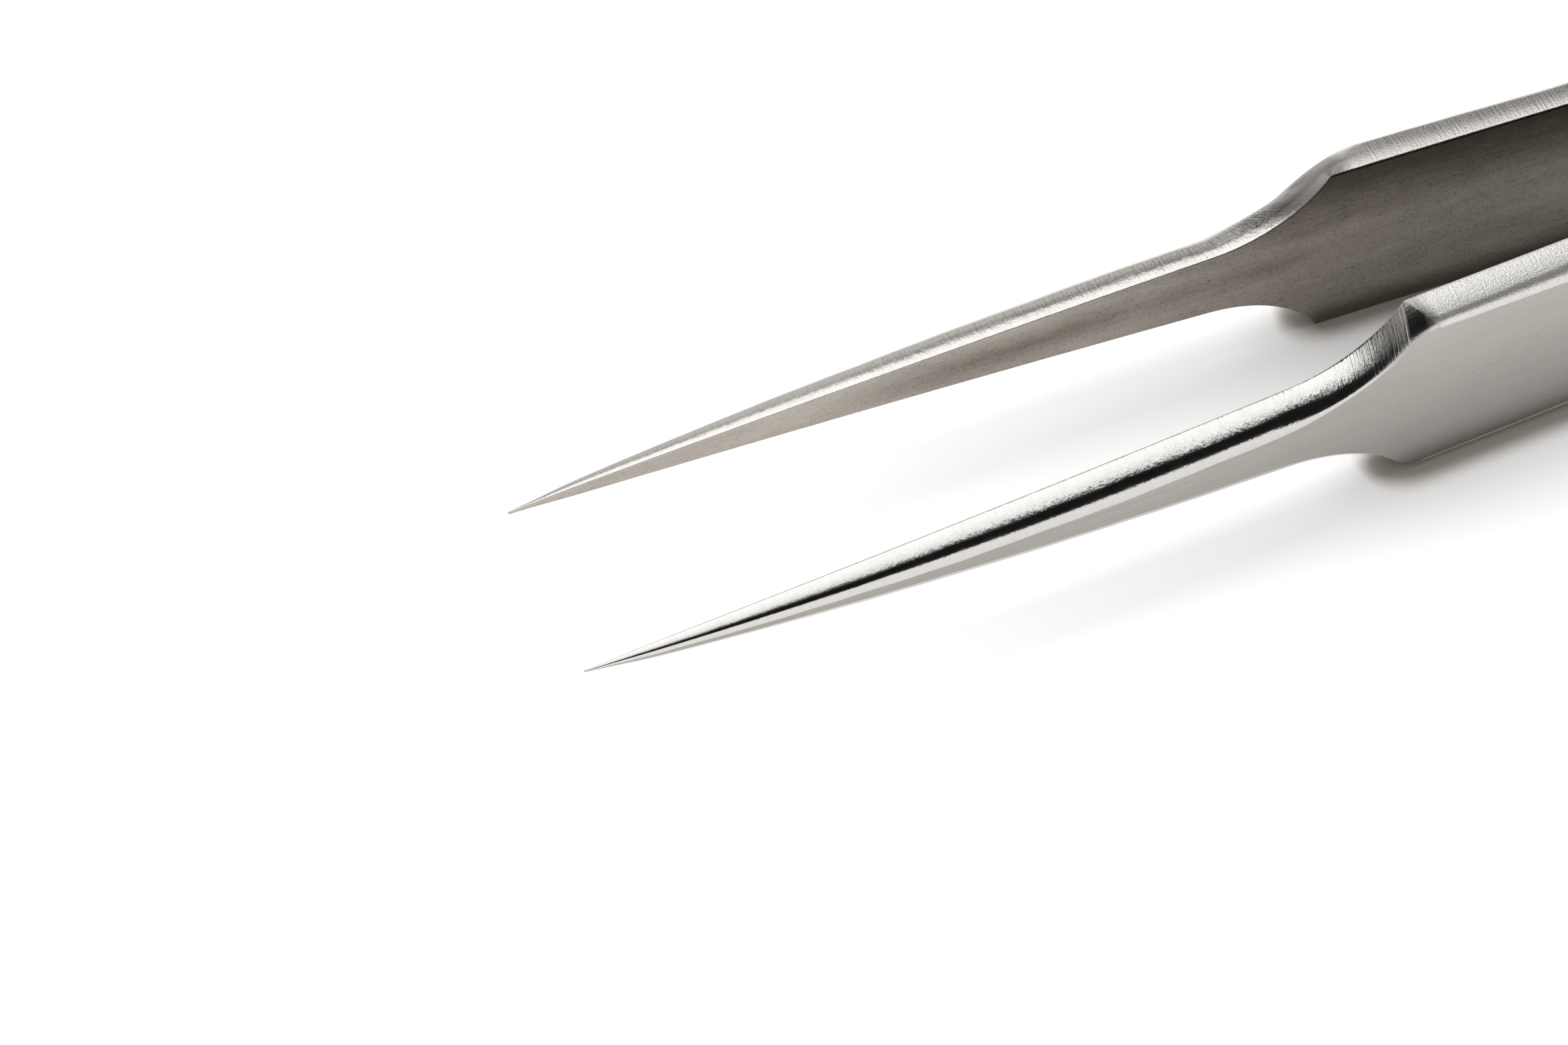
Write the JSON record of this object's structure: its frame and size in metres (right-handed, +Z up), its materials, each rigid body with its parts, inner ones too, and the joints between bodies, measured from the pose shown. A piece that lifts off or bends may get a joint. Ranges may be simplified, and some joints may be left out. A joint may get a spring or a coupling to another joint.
{
  "type": "precision tweezers",
  "caption": "Fine-point precision tweezers: two bowed spring-steel arms with needle necks and ground shoulders, welded together at the tail.",
  "frame": {"origin": "on the resting plane, under the middle of the object's box", "axes": "+X along the arms from the needle tips to the welded tail, +Y towards the far arm (the arms open along Y), +Z up along the width of the blades"},
  "size_m": [0.11, 0.0096, 0.0095],
  "materials": {
    "near_arm_steel": "satin, brushed lengthwise",
    "far_arm_steel": "satin, brushed lengthwise",
    "weld_metal": "as fused"
  },
  "bodies": {
    "tail": {"far_tail": "far_arm_steel", "near_tail": "near_arm_steel", "weld_nuggets": "weld_metal"},
    "far_arm": {"far_blade": "far_arm_steel"},
    "near_arm": {"near_blade": "near_arm_steel"}
  },
  "joints": [
    {"name": "far_arm_squeeze", "type": "hinge", "parent": "tail", "child": "far_arm", "pos_m": [0.0277, 0.0008, 0.00475], "axis": [0, 0, 1], "range_deg": [0, 2.61], "stiffness_Nm_per_rad": 1.9},
    {"name": "near_arm_squeeze", "type": "hinge", "parent": "tail", "child": "near_arm", "pos_m": [0.0277, -0.0008, 0.00475], "axis": [0, 0, -1], "range_deg": [0, 2.61], "stiffness_Nm_per_rad": 1.9}
  ]
}
